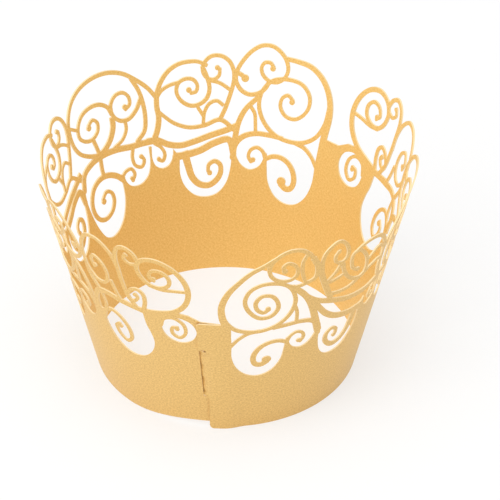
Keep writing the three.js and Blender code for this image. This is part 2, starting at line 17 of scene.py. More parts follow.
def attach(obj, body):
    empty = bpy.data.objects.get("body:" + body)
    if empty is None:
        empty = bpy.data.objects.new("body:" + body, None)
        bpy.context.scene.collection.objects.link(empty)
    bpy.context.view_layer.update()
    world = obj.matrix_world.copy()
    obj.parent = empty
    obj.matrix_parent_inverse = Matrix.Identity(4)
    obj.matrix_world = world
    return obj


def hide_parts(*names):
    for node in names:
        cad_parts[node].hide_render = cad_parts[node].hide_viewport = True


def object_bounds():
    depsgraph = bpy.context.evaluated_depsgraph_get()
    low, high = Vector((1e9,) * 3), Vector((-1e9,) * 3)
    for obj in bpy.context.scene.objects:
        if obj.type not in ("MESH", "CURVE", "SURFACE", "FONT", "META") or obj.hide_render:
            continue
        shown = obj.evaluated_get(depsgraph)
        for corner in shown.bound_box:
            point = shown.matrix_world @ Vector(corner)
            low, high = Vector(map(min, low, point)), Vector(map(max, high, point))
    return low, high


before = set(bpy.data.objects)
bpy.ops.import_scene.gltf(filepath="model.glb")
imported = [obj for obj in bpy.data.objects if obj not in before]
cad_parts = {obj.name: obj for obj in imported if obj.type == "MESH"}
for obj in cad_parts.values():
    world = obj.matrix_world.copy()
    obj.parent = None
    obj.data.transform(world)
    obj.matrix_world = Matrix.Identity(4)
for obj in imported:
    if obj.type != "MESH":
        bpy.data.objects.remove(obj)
cad_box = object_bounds()
print("CAD box in mm:", [[round(1000 * v, 2) for v in corner] for corner in cad_box])

# %% [markdown]
# ## Sizes
# All sizes are millimetres and degrees, as a card cutter would note them. Card is sold by its weight, and 300 g/m2
# pearl card is close to 0.3 mm thick. The foot circle is taken to be 50 mm across, and the flare and the heights were
# estimated through the fitted camera. A cone unrolls without stretching, so a place on the card is given by u, the
# degrees round the cup counted from the seam, and h, the millimetres up the slope from the foot edge.

# %% Sizes of the blank and of the rolled cup
FOOT_RADIUS = 25.0
FLARE = np.arctan(0.2416)
CARD = 0.3
SEAM_ANGLE = -8.0
STRIP_TOP, STRIP_RIGHT = 31.2, 9.7
STRIP_SHOULDER = ((-14, 31.8), (-8.3, 33), (-4, 32.6))
WINDOW_MIDDLE, WINDOW_HALF = (-7.6, 28), (6.1, 3.6)
FOOT_CORNER_U, FOOT_CORNER_H = np.array([1.5, 0.7, 0.1]), np.array([0, 0.07, 0.35])
LEFT_END, LEFT_RISE, RISE_FROM = 367.0, 1.6, 322.0
TONGUE_LOW, TONGUE_HIGH, TONGUE_REACH, NOTCH = 9.6, 22.8, -4.8, 0.8
UNDERLAP_GAP, DIP_HALF, SLIT_LEFT, SLIT_RIGHT = 0.3, 1.15, 1.25, 0.5
SLIT_SPARE_BELOW, SLIT_SPARE_ABOVE = 0.4, 0.05
DIP_AT_TOP, DIP_LEAN = 0.05, 0.052
EASE_FROM, EASE_TO = 8.0, 17.0
ROOT, STEM, MAIN, FINE = 1.5, 1.2, 0.85, 0.68
STEP, STEPS_A_LENGTH = 0.3, 6
GRID_U, GRID_H = 2.4, 1.3
APEX = FOOT_RADIUS / np.sin(FLARE)
THICK = CARD / np.cos(FLARE)
LIFT = THICK + UNDERLAP_GAP
print("the blank is an arc of", round(360 * np.sin(FLARE), 1), "degrees, radius", round(APEX, 1), "mm")

# %% [markdown]
# ## Unrolling and rolling
# A mesh could be drawn flat and bent by a modifier, but a modifier can't know where the ends lap. Two functions lead
# from the card to the flat sheet and back instead, and a third rolls the card. Where the ends lap and where the
# tongue dips through the slit, the card leaves the plain cone by an offset of its own.


# %% The flat card and its roll
def flat(u, h):
    """A card point on the flat sheet in mm: a cone of half angle FLARE unrolls to a circle sector round its apex,
    so the distance from the apex is APEX + h and the angle is u times the sine of FLARE."""
    a = np.radians(u) * np.sin(FLARE)
    return np.stack([(APEX + h) * np.sin(a), (APEX + h) * np.cos(a)], -1)


def unflat(xy):
    """The inverse: u in degrees and h in mm of points on the flat sheet."""
    return np.degrees(np.arctan2(xy[:, 0], xy[:, 1])) / np.sin(FLARE), np.hypot(xy[:, 0], xy[:, 1]) - APEX


def ease(x):
    """A smooth step from 0 to 1: 3x squared minus 2x cubed."""
    t = np.clip(x, 0, 1)
    return t * t * (3 - 2 * t)


def dip_line(h):
    """Where the tongue crosses the card under it: a line that leans along the slit."""
    return DIP_AT_TOP + (TONGUE_HIGH - h) * DIP_LEAN


def offset(u, h):
    """How far the card lies outside the plain cone. The right end laps over the left end by LIFT and eases back to
    the cone. The tongue falls from LIFT outside to LIFT inside within DIP_HALF degrees of its crossing line."""
    lap = LIFT * (1 - ease((u - EASE_FROM) / (EASE_TO - EASE_FROM)))
    tongue = (h < TONGUE_HIGH + NOTCH / 2) & (h > TONGUE_LOW - NOTCH / 2) & (u < EASE_FROM)
    dip = LIFT * (2 * ease(((u - dip_line(h)) / DIP_HALF + 1) / 2) - 1)
    return np.where(u > 180, 0, np.where(tongue, dip, lap))


def roll(u, h, side):
    """Rolled place of a card point in mm: radius FOOT_RADIUS + h sin FLARE plus the offset, half the card to the
    outside or the inside, at the angle u + SEAM_ANGLE from the front, at height h cos FLARE."""
    r = FOOT_RADIUS + h * np.sin(FLARE) + offset(u, h) + side * THICK / 2
    t = np.radians(u + SEAM_ANGLE)
    return np.stack([r * np.sin(t), -r * np.cos(t), h * np.cos(FLARE)], -1)


print("foot edge at the front, in mm:", roll(np.array(8.0), np.array(0.0), 1).round(2))

# %% [markdown]
# ## The bowls
# The bowls are the scallops cut into the top of the foot band. An arc would be simpler, but the real ones lean and
# flatten, so each is a spline through a few card points. They come in four groups, A, C, E and K, and how the groups
# repeat round the sides is a guess.

# %% Bowls
BOWLS = {
    "A": [
        [(10.2, 25.6), (10.4, 21), (12.5, 17.7), (16.2, 15.6), (20.5, 15.1), (25, 16.1), (28.2, 18.7), (29.1, 21.8),
         (29.4, 24.8)],
        [(30.4, 25.2), (30.9, 23.3), (32.6, 21.8), (35.7, 21.1), (38.7, 21.9), (40.7, 23.8), (41.2, 26)],
    ],
    "C": [
        [(42.4, 25.8), (42.8, 21.5), (44.6, 18), (48, 15.9), (52, 15.3), (56.5, 15.8), (60.3, 17.9), (62, 20.7),
         (61.7, 24.5)],
        [(63.8, 26.3), (64.3, 24.6), (66, 23.2), (68.5, 22.8), (71, 23.6), (72.2, 25.3), (72, 28)],
    ],
    "E": [
        [(73, 28), (73.2, 24.5), (74.7, 22.2), (78, 21), (82, 21.3), (84.3, 22.8), (85, 24.6)],
        [(86.2, 24.6), (85.9, 20.5), (86.7, 18), (89, 15.4), (92.5, 13.8), (96, 13.4), (99.5, 14.3), (102.5, 16.8),
         (104.7, 20.3), (105.8, 24), (105.4, 27.5)],
    ],
    "K": [
        [(-38.8, 26), (-38.4, 22.5), (-35.6, 19.2), (-31.5, 17.3), (-27, 16.8), (-22.5, 17.6), (-19, 19.8),
         (-17.4, 22.6), (-18, 25.1), (-19.3, 27.4), (-20, 30.5)],
    ],
}
print(sum(len(b) for b in BOWLS.values()), "bowls in", len(BOWLS), "groups")

# %% [markdown]
# ## The scrolls over the first bowls
# A scroll is a line of slowly changing width that curls in and ends in a bead, as a pen draws it. Each line is a
# spline through a few card points, with its width at both ends. The lines named A fill the first bowls, and the
# crest over them has one drawing for the front and one for the back. Many points of the front's crests were picked
# by eye in the photograph, and a scratch script turned them to card points through the fitted camera.

# %% Scrolls of group A
SCROLLS = {}
SCROLLS["A"] = [
    ([(9.7, 24.6), (12.3, 26.5), (15.5, 27.8), (19, 28.3)], FINE, MAIN),
    ([(30.2, 23.6), (27, 24.5), (23.8, 24.5), (20.7, 23.6), (18.6, 21.9), (18, 20), (19, 18.6), (21, 18.3),
      (23, 19)], MAIN, STEM),
    ([(30, 23.8), (31, 25.2), (33.2, 25.9), (35.5, 25.2), (36.2, 23.8), (35.2, 22.8)], FINE, FINE),
    ([(24, 28.6), (29, 28.8), (34, 28.8), (38.3, 28), (41.2, 26.2), (42, 23.5)], MAIN, STEM),
]
SCROLLS["crest A"] = [
    ([(8.6, 26), (8.6, 30), (7.2, 33.2), (7, 36.5), (9.1, 40.4), (12.4, 43.2), (15.9, 45.4), (19.4, 46.9),
      (23.3, 48.8)], ROOT, MAIN),
    ([(7.2, 34.5), (8.3, 32), (11.6, 29.5), (16.4, 28.3), (21.4, 28.4), (26.4, 29.7), (29.8, 32.3), (30.8, 35.6),
      (28.6, 39.4), (25.8, 41), (22.2, 41.7), (19, 41.6), (15.7, 40.2), (14.2, 37.5), (15.6, 34.4), (19.2, 32.1),
      (22.9, 32.2), (25.1, 34.1), (24.4, 36.6), (22.2, 38.2), (19.5, 38.3), (17.7, 36.7), (18.3, 34.6),
      (20.4, 33.6), (22, 34.3)], MAIN, MAIN),
    ([(21.4, 47.3), (23.3, 48.8), (25.2, 49.7), (27.5, 50.1), (30.7, 49.5), (33.5, 47.7), (35.7, 45.2),
      (36.8, 42.6), (36.4, 40.6), (33.5, 39.8), (30.2, 39.5), (27.5, 40.2)], MAIN, MAIN),
    ([(21.9, 47.8), (21.1, 46.1), (21.7, 44), (23.4, 42.6), (26, 41.8), (28.5, 41.9), (29.9, 42.9), (30, 44.4),
      (28.5, 46), (26.5, 46.7), (25.4, 46), (25.6, 44.8)], MAIN, FINE),
    ([(32.5, 48.2), (31.4, 46.2), (31.5, 44.2), (32.2, 42.1), (33.5, 39.8)], FINE, FINE),
    ([(34.7, 46.5), (37.5, 43), (39.2, 40), (41.5, 36.5), (44.2, 32.9)], STEM, STEM),
    ([(28.8, 39.8), (33, 37.1), (35.8, 34.4), (37.8, 31.6), (39.7, 28.2), (41.8, 24.5)], STEM, ROOT),
    ([(30.6, 34.6), (32, 32), (32.4, 29)], FINE, FINE),
]
SCROLLS["back A"] = [
    ([(8.6, 26), (8.4, 31), (7.6, 36.5), (8.8, 40), (12, 43), (16.5, 44.8), (21, 45.2), (25, 45.3)], ROOT, MAIN),
    ([(8.2, 37.5), (8.8, 34.3), (11.5, 30.9), (16, 28.9), (21, 28.3), (26.5, 28.9), (31, 31.2), (33.2, 34.6),
      (32.3, 37.9), (29, 40.3), (24, 41.1), (19, 40.7), (16.1, 38.9), (15.7, 36.6), (17.4, 34.5), (20.4, 33.2),
      (23.7, 33.4), (25.8, 35.1), (25.4, 37), (23.5, 37.8), (21.7, 37)], MAIN, FINE),
    ([(30.3, 40), (31.3, 38.6), (33.6, 37.3), (36.8, 36.9), (39.6, 37.8), (41.2, 39.8), (40.6, 42), (38.6, 44.2),
      (36, 46.1), (33, 47.3), (29.8, 47.4), (27, 46.4), (25, 44.8), (24.3, 42.9), (25.3, 41.2), (27.6, 40.1),
      (30.2, 40.1), (32.4, 41.2), (33, 42.7), (32, 43.8), (30.2, 43.9), (29.1, 43.1)], MAIN, FINE),
    ([(41, 41.2), (39.7, 41), (38.5, 40.4)], MAIN, MAIN),
    ([(32.7, 37), (35, 35.6), (37.7, 33.8), (39.9, 31.2), (41, 28.4), (41.8, 25)], MAIN, STEM),
    ([(34, 28.8), (34.2, 31), (34.6, 33), (36.3, 34.6)], FINE, FINE),
]
print("lines:", {name: len(SCROLLS[name]) for name in ("A", "crest A", "back A")})

# %% [markdown]
# ## The scrolls of group C
# Group C stands to the right of A and shares its leaf stems, again with a crest for the front and one for the back.

# %% Scrolls of group C
SCROLLS["C"] = [
    ([(59.8, 25.4), (58.7, 22.3), (57.4, 19.7), (54.8, 18.1), (51.3, 17.7), (48.2, 18.7), (46.5, 20.4),
      (46.8, 22), (48.7, 22.7), (50.9, 22), (51.3, 20.7)], ROOT, FINE),
    ([(70.8, 28.5), (68.3, 27.2), (67.2, 25.6), (68.2, 24.4), (69.8, 24.8)], FINE, FINE),
    ([(50.4, 42.8), (53.4, 43.8), (56.3, 44), (59.6, 43.8), (63, 42.8), (65.8, 41), (67.7, 38.6), (68.3, 36),
      (68, 33.6), (68.9, 31.2), (70.8, 29)], FINE, STEM),
]
SCROLLS["crest C"] = [
    ([(38, 33.4), (41, 30.6), (44, 28.4), (48, 26.6), (54, 25.2), (60, 24.6), (63, 24.6)], STEM, ROOT),
    ([(30.3, 39), (33.1, 36.9), (35.2, 35.4), (38.5, 33.7), (42.8, 32.3), (48.3, 30.9), (53.3, 29.8), (58, 29.2),
      (63, 28.8), (68, 29), (73, 29.3)], STEM, STEM),
    ([(39.2, 40), (38.2, 44.5), (38.7, 46.5), (40.4, 48), (42.6, 48.7), (45.5, 47.4), (47.5, 44.8), (47.4, 42.9),
      (45.8, 42.1), (43.6, 42.8), (42.7, 44.8), (43.8, 45.8)], MAIN, FINE),
    ([(45.8, 42.4), (46.5, 41.4), (47.9, 38.9), (50.9, 36.2), (54.3, 34.7), (57.8, 34.4), (58.9, 36.2),
      (57.8, 39), (55, 41.7), (52.2, 43.1), (50.3, 42.7), (50.2, 40.8), (51.7, 38.4), (54.5, 37.1)], MAIN, FINE),
    ([(43, 34), (48.2, 33.3), (52.6, 33.4), (57.5, 34.6), (62, 35.4), (65.4, 35.6), (68.2, 35)], MAIN, FINE),
    ([(40.8, 37.6), (44.2, 39.9), (45.8, 42.1)], FINE, FINE),
    ([(41, 37.4), (45.7, 37.8), (48.3, 38.3)], FINE, FINE),
    ([(58.4, 38), (63.3, 39.7), (66.2, 38.9), (68.3, 37.4)], FINE, FINE),
]
SCROLLS["back C"] = [
    ([(41.7, 24), (43.5, 27.2), (48.5, 26.6), (54, 25.2), (60, 24.6), (63, 24.6)], STEM, ROOT),
    ([(40.3, 30.3), (44, 29.3), (50, 28.2), (56, 27.2), (61, 26.8), (65.5, 27.5), (69.5, 28.9),
      (73, 29.3)], STEM, STEM),
    ([(41, 29), (46.5, 31.4), (52, 30.4), (57.5, 30.3), (62.5, 31.6), (65.7, 33.3), (68.2, 35)], MAIN, FINE),
    ([(46.6, 31.4), (44.7, 33.8), (43.1, 36.6), (41.9, 39.5), (42, 41.8), (43.6, 43.8), (46.3, 44.8),
      (49.2, 44.7), (51.5, 43.3), (51.9, 41.6), (50.5, 40.2), (48.4, 39.9), (46.7, 40.7),
      (46.4, 42)], MAIN, FINE),
    ([(52.1, 42.8), (50.7, 40.6), (49.9, 38), (51, 36), (53.5, 34.9), (56.5, 34.8), (59.5, 36), (61, 38),
      (60.2, 39.8), (57.8, 40.5), (55.3, 40.2), (53.9, 38.9), (54.5, 37.6), (56.1, 37.4)], MAIN, FINE),
    ([(42.9, 37.6), (46.5, 39.1), (50.3, 39.8)], FINE, FINE),
    ([(59.8, 40), (63.3, 39.7), (66.2, 38.9), (68.3, 37.4)], FINE, FINE),
    ([(45.3, 34.4), (47.6, 35.4), (50, 34.9), (51.8, 33.2), (52.4, 30.8)], FINE, FINE),
    ([(52.3, 32.4), (54, 34.2)], FINE, FINE),
]
print("lines:", {name: len(SCROLLS[name]) for name in ("C", "crest C", "back C")})

# %% [markdown]
# ## The scrolls of groups E and K
# E is the broad crest to the right of C, and K is the one that ends at the closing strip.

# %% Scrolls of groups E and K
SCROLLS["E"] = [
    ([(71, 29), (75, 29.2), (80, 29.4), (86, 30.1), (92, 30.5), (98, 30.4), (103.5, 29.3),
      (105.6, 26.5)], STEM, STEM),
    ([(68, 37.6), (70.8, 40.2), (74.6, 42.6), (79.2, 44.9), (84.7, 46.3), (90.7, 46.7), (97, 46.1),
      (101.7, 44.5), (104.8, 41.8), (105.7, 38.8), (105, 36.1), (102.8, 33.9), (99, 32.2),
      (94.5, 31)], MAIN, MAIN),
    ([(76.2, 43.2), (74.1, 40.3), (73.1, 37.4), (72.9, 34.2), (73.9, 31.6), (77, 30)], MAIN, MAIN),
    ([(73.6, 38.6), (76, 36.4), (79.2, 35.2), (82.6, 35.6), (85.1, 37.4), (85.1, 39.6), (82.9, 41), (80, 41),
      (78, 39.7), (78, 38.1), (79.8, 37.4)], MAIN, FINE),
    ([(80.7, 35.6), (80.8, 33.2), (83, 31.5), (86.6, 30.7)], FINE, FINE),
    ([(85.5, 37), (85.8, 35), (87.8, 32.8), (91, 31.4), (94, 30.8)], STEM, STEM),
    ([(85.3, 37.5), (86.7, 39.5), (90, 40.9), (94.3, 41.3), (98.3, 40.7), (101, 38.9), (101.2, 36.9),
      (98.7, 35.4), (95.4, 34.9), (92.5, 35.8), (91.9, 37.5), (93.8, 38.6), (95.9, 38)], MAIN, FINE),
    ([(101, 38.5), (103.6, 39.6), (105.5, 40.5)], FINE, FINE),
    ([(95.4, 35), (94.5, 33), (93.8, 31)], MAIN, MAIN),
    ([(79.3, 28.9), (80.1, 27), (79.3, 25.2), (76.8, 24.5), (75.5, 25.6), (76.3, 26.7)], FINE, FINE),
    ([(86.2, 23.6), (84, 24.8), (81.4, 24.9), (80.2, 23.6), (81.4, 22.4)], FINE, FINE),
    ([(93.8, 30.2), (94.1, 28), (94, 26.2)], MAIN, MAIN),
    ([(85.4, 23.4), (88.4, 25), (92.5, 26.1), (96.6, 26.2), (100.5, 25.2), (103, 22.9), (102.9, 20.4),
      (100.6, 18.5), (97, 17.8), (93.5, 18.5), (91.5, 20.3), (92, 22.2), (94.5, 23), (96.9, 22)], STEM, FINE),
]
SCROLLS["K"] = [
    ([(-40.6, 25), (-40.8, 28.5), (-38.5, 31.2), (-34, 32), (-28, 31.6), (-22, 31.3), (-16, 30.8)], STEM, STEM),
    ([(-27.5, 31.8), (-21.5, 31.3), (-14, 31.9), (-8.3, 33.2), (-4.6, 35.7), (-3.3, 39), (-4.6, 42.6),
      (-8.3, 45.6), (-13, 46.8), (-17.2, 46), (-19.2, 43.9), (-18.5, 41.5), (-15.8, 39.6), (-12.2, 39.3),
      (-9.3, 40.6), (-9.2, 42.6), (-11.6, 44), (-14.3, 43.6), (-15.4, 42), (-14, 41)], STEM, FINE),
    ([(-18.3, 45.1), (-19.9, 47.2), (-22.6, 48.1), (-25.2, 47.1), (-26.5, 44.6), (-26.3, 41), (-25.8, 37.5),
      (-24.8, 34.4), (-22.2, 31.6)], MAIN, MAIN),
    ([(-19.4, 44.3), (-21.6, 44), (-23.3, 45), (-22.6, 46.3)], FINE, FINE),
    ([(-26.2, 38.5), (-26.6, 41.7), (-28.7, 45), (-32.6, 47.1), (-37, 46.7), (-40.2, 44.2), (-41.5, 40.3),
      (-40.4, 36.7), (-37, 34.7), (-33.5, 35.1), (-31.8, 37.6), (-33.2, 40.5), (-36, 41.5), (-37.8, 40.1),
      (-37, 38.3)], MAIN, FINE),
    ([(-41.3, 39), (-40.7, 35), (-38, 32.2)], MAIN, MAIN),
    ([(-30.8, 36.6), (-29.7, 34), (-28.2, 31.8)], FINE, FINE),
    ([(-19.4, 31.7), (-18.5, 34), (-18.8, 36.1), (-20.7, 37), (-23.4, 36.1), (-24.8, 34.4), (-24, 33.3),
      (-22.2, 33.5), (-21, 34.6), (-21.6, 35.4)], MAIN, FINE),
    ([(-3.4, 39.4), (-7.4, 39.2), (-11.7, 38.9), (-15.7, 39.3)], FINE, FINE),
    ([(-39, 23.8), (-37.4, 26.1), (-34, 27.3), (-30.2, 26.3), (-27.5, 23.8), (-27.4, 21.2), (-29.8, 20),
      (-32.6, 21.2), (-33.5, 23.2), (-31.8, 24.2)], MAIN, FINE),
    ([(-37.6, 25.8), (-36.3, 28.3), (-37, 30.9)], FINE, FINE),
    ([(-13.9, 28.3), (-12.4, 30.6), (-9, 31.2), (-5.9, 29.8), (-5.4, 27.2), (-7.6, 25.8), (-9.9, 26.7),
      (-9.8, 28.4), (-8.1, 28.7)], FINE, FINE),
]
print("lines:", {name: len(SCROLLS[name]) for name in ("E", "K")})

# %% [markdown]
# ## Beads and the order of the groups
# A bead is a card point and a radius in mm, where a curl ends. The layout turns each group round the cup by the
# given degrees, so one drawing serves several places.

# %% Beads and layout
BEADS = {
    "A": [(23, 19.6, 0.9), (34.5, 23.2, 0.5)],
    "crest A": [(21.8, 34.6, 0.5), (25.9, 44.6, 0.55)],
    "back A": [(21.9, 36.6, 0.55), (29.3, 42.8, 0.55), (38.2, 40.2, 0.75)],
    "C": [(50.7, 20.3, 0.5), (69.7, 25, 0.4)],
    "crest C": [(43.6, 45.6, 0.5), (54.2, 37.3, 0.5)],
    "back C": [(47.2, 42.3, 0.5), (56.8, 38.1, 0.55)],
    "E": [(79.9, 37.9, 0.55), (96, 37.5, 0.6), (76.5, 26.6, 0.45), (81.7, 22.9, 0.4), (96.7, 21.5, 0.6)],
    "K": [(-14.1, 41.5, 0.5), (-22.3, 46.1, 0.4), (-36.5, 38.8, 0.5), (-21.8, 35.2, 0.45), (-31.5, 23.6, 0.55),
          (-8.2, 28.2, 0.45)],
}
LAYOUT = [("A", 0), ("crest A", 0), ("C", 0), ("crest C", 0), ("E", 0), ("K", 146), ("A", 144), ("back A", 144),
          ("C", 144), ("back C", 144), ("E", 144), ("C", 209), ("back C", 209), ("A", 275.5), ("back A", 275.5),
          ("K", 360)]
print(sum(len(SCROLLS[n]) for n, by in LAYOUT), "scroll lines in", len(LAYOUT), "groups")

# %% [markdown]
# ## From lines to outlines
# A centripetal spline passes through its points without loops, so a curl stays clean. A scroll's outline is its
# middle line moved left and right by half its width, with a round nose. Everything stays flat here, since cutting
# and joining in the plane is exact and the roll comes last.


# %% Splines and outlines
def spline(points, closed=False):
    """A centripetal spline: each stretch is a cubic through two points, with end slopes from the neighbours,
    weighted by the square root of the distances. It is sampled about every STEP mm."""
    p = flat(*np.array(points, float).T)
    p = np.vstack([p[-1], p, p[:2]]) if closed else np.vstack([2 * p[0] - p[1], p, 2 * p[-1] - p[-2]])
    x0, x1, x2, x3 = p[:-3], p[1:-2], p[2:-1], p[3:]
    d0, d1, d2 = [np.sqrt(np.linalg.norm(b - a, axis=1))[:, None] for a, b in ((x0, x1), (x1, x2), (x2, x3))]
    s1 = ((x1 - x0) / d0 - (x2 - x0) / (d0 + d1) + (x2 - x1) / d1) * d1
    s2 = ((x2 - x1) / d1 - (x3 - x1) / (d1 + d2) + (x3 - x2) / d2) * d1
    per = int(np.ceil(np.linalg.norm(x2 - x1, axis=1).max() / STEP)) + 1
    t = np.linspace(0, 1, per, endpoint=False)[None, :, None]
    a, b = s1[:, None], s2[:, None]
    q = x1[:, None] + a * t + (3 * (x2 - x1)[:, None] - 2 * a - b) * t**2 + (2 * (x1 - x2)[:, None] + a + b) * t**3
    q = q.reshape(-1, 2)
    return q if closed else np.vstack([q, x2[-1]])


def disc(radius):
    """A circle of twenty points round the origin, for the caller to move to its place."""
    a = np.radians(np.arange(0, 360, 18))[:, None]
    return radius * np.hstack([np.cos(a), np.sin(a)])


def stroke(points, start, end):
    """The outlines of a scroll line: its middle line plus and minus half the width along its normal, the width
    running evenly from start to end, and a disc on the end. A line that crosses itself would have no inside, so
    it is cut into short lengths that share their cross lines."""
    mid = spline(points)
    along = np.gradient(mid, axis=0)
    along /= np.linalg.norm(along, axis=1)[:, None]
    out = np.stack([-along[:, 1], along[:, 0]], 1) * (np.linspace(start, end, len(mid)) / 2)[:, None]
    left, right = mid + out, mid - out
    starts = range(0, len(mid) - 1, STEPS_A_LENGTH)
    stops = [i + STEPS_A_LENGTH + 1 for i in starts]
    return [np.vstack([right[i:j], left[i:j][::-1]]) for i, j in zip(starts, stops)] + [mid[-1] + disc(end / 2)]


def anticlockwise(outline):
    """The outline turned the way that keeps its inside on the left: the sum of the cross products is twice the
    signed area."""
    x, y = outline.T
    return outline if (x * np.roll(y, -1) - y * np.roll(x, -1)).sum() > 0 else outline[::-1]


def turned(points, by):
    """The same card points, further round the cup."""
    return [(u + by, h) for u, h in points]


print("a spiral of the first group is cut into", len(stroke(*SCROLLS["A"][1])), "lengths")

# %% [markdown]
# ## The plain band
# The band carries the closing strip. Its right end has the tongue, cut free by a small notch above it, and its left
# end has the slit. The left end was rolled a little high, so its foot edge climbs towards the seam. The slit opens
# to the left of the tongue, where its shadow shows, and is narrow behind it, so no light comes through the notch.

# %% The band, its windows and the slit
end_edge = dip_line(TONGUE_LOW) + DIP_HALF
corners = [(end_edge - 0.3, 1), (end_edge, TONGUE_LOW - NOTCH), (end_edge - 0.5, TONGUE_LOW),
           (TONGUE_REACH + 2, TONGUE_LOW), (TONGUE_REACH + 0.3, TONGUE_LOW + 0.7), (TONGUE_REACH, TONGUE_LOW + 2.5),
           (TONGUE_REACH, TONGUE_HIGH - 2), (TONGUE_REACH + 0.5, TONGUE_HIGH - 0.6), (TONGUE_REACH + 2, TONGUE_HIGH),
           (DIP_AT_TOP + DIP_HALF, TONGUE_HIGH), (DIP_AT_TOP + DIP_HALF + 0.3, TONGUE_HIGH + NOTCH / 2),
           (DIP_AT_TOP + DIP_HALF, TONGUE_HIGH + NOTCH), (DIP_AT_TOP - DIP_HALF, TONGUE_HIGH + NOTCH),
           (DIP_AT_TOP - DIP_HALF - 0.2, STRIP_TOP - 0.5), (DIP_AT_TOP - DIP_HALF + 0.6, STRIP_TOP),
           (4.2, STRIP_TOP), (STRIP_RIGHT, STRIP_TOP)]
band = [flat(*np.array(corners).T)]
for name, by in LAYOUT:
    band += [spline(turned(bowl, by)) for bowl in BOWLS.get(name, [])]
    if name == "K":
        top = turned(STRIP_SHOULDER, by) + [(by, STRIP_TOP)]
        top += [(by + STRIP_RIGHT - 2, STRIP_TOP)] if by < 180 else []
        band.append(flat(*np.array(top).T))
band.append(flat(np.array([LEFT_END, LEFT_END]), np.array([STRIP_TOP - 0.5, LEFT_RISE])))
foot_u = np.arange(360, 4, -1.0)
band.append(flat(foot_u, LEFT_RISE * ease((foot_u - RISE_FROM) / (360 - RISE_FROM))))
band.append(flat(end_edge + FOOT_CORNER_U, FOOT_CORNER_H))
band = np.vstack(band)

a = np.radians(np.arange(0, 360, 45))
window = np.stack([WINDOW_HALF[0] * np.cos(a), WINDOW_HALF[1] * np.sin(a)], 1) + WINDOW_MIDDLE
round_windows = [spline(window + (by, 0), closed=True) for name, by in LAYOUT if name == "K"]
slit_low, slit_high = TONGUE_LOW - SLIT_SPARE_BELOW, TONGUE_HIGH + SLIT_SPARE_ABOVE
slit = flat(360 + np.array([dip_line(slit_low) - SLIT_LEFT, dip_line(slit_low) + SLIT_RIGHT,
                            dip_line(slit_high) + SLIT_RIGHT, dip_line(slit_high) - SLIT_LEFT]),
            np.array([slit_low, slit_low, slit_high, slit_high]))
print("band outline:", len(band), "points;", len(round_windows), "round windows and the slit")

# %% [markdown]
# ## Joining the outlines in the plane
# The laser only leaves what lies inside any outline. A constrained triangulation keeps every outline as an edge and
# says which outlines each triangle lies in, so the sheet is the triangles inside a scroll, or inside the band and
# outside its windows. A grid of loose points inside keeps the triangles small, so the rolled face shades evenly.

# %% The cut sheet as flat triangles
outlines = [anticlockwise(outline) for outline in (band, *round_windows, slit)]
holes = set(range(1, len(outlines)))
for name, by in LAYOUT:
    for points, start, end in SCROLLS[name]:
        outlines += stroke(turned(points, by), start, end)
    outlines += [flat(u + by, h) + disc(radius) for u, h, radius in BEADS.get(name, [])]
starts = np.cumsum([0] + [len(o) for o in outlines])
grid_u, grid_h = np.meshgrid(np.arange(-5, 367, GRID_U), np.arange(1.2, 48, GRID_H))
loose = flat(grid_u.ravel() + 0.7 * (grid_h.ravel() % 2), grid_h.ravel())
verts = [Vector(v) for v in np.vstack([*outlines, loose]).tolist()]
rings = [list(range(a, b)) for a, b in zip(starts[:-1], starts[1:])]
points, _, triangles, _, _, inside = delaunay_2d_cdt(verts, [], rings, 0, 1e-4)
points = np.array([tuple(v) for v in points])
solid = [any(i >= len(holes) + 1 for i in ids) or (0 in ids and not holes & set(ids)) for ids in inside]
tris = np.array(triangles)[np.array(solid)]
used, tris = np.unique(tris, return_inverse=True)
points, tris = points[used], tris.reshape(-1, 3)
edge = points[tris[:, 1:]] - points[tris[:, :1]]
flip = edge[:, 0, 0] * edge[:, 1, 1] - edge[:, 0, 1] * edge[:, 1, 0] < 0
tris[flip] = tris[flip][:, ::-1]
print(len(outlines), "outlines joined to", len(tris), "triangles on", len(points), "points")

# %% [markdown]
# ## Rolling the sheet
# The sheet has a real thickness, so it catches light on its edges. A Solidify modifier would give one too, but it
# would leave the slant of the edges to the normals, while the roll puts both faces at the same height. The flat net
# is rolled twice instead, once for the outside face and once for the inside face, and the free edges between them
# become the laser-cut edge. The cut edge is a material of its own, because the core of the card is paler; its pale
# colour is partly a painted highlight for the lit cut edges. The finer curves reach up to 0.02 mm past the imported
# part's box, so the rolled points are clipped to that box.

# %% The rolled wrapper
u, h = unflat(points)
h = np.where(np.abs(h) < 0.03, 0, h)
count = len(points)
shell = np.clip(np.vstack([roll(u, h, 1), roll(u, h, -1)]) / 1000, cad_box[0], cad_box[1])
ways = tris[:, [0, 1, 1, 2, 2, 0]].reshape(-1, 2)
code = ways[:, 0] * count + ways[:, 1]
free = ways[~np.isin(code, ways[:, 1] * count + ways[:, 0])]
walls = np.stack([free[:, 1], free[:, 0], free[:, 0] + count, free[:, 1] + count], 1)
mesh = bpy.data.meshes.new("card_wrapper_fine")
mesh.from_pydata(shell.tolist(), [], tris.tolist() + (tris[:, ::-1] + count).tolist() + walls.tolist())
kind = np.repeat(np.array([0, 2, 1], np.int32), [len(tris), len(tris), len(walls)])
mesh.polygons.foreach_set("material_index", kind)
mesh.polygons.foreach_set("use_smooth", np.ones(len(kind), bool))
mesh.set_sharp_from_angle(angle=radians(45))
corner_vert = np.empty(len(mesh.loops), np.int32)
mesh.loops.foreach_get("vertex_index", corner_vert)
uv = mesh.uv_layers.new(name="card")
uv.data.foreach_set("uv", (points[corner_vert % count] / 1000).ravel())
wrapper = bpy.data.objects.new("card_wrapper_fine", mesh)
bpy.context.collection.objects.link(wrapper)
print("rolled:", len(mesh.polygons), "faces, highest point", round(1000 * shell[:, 2].max(), 2), "mm")

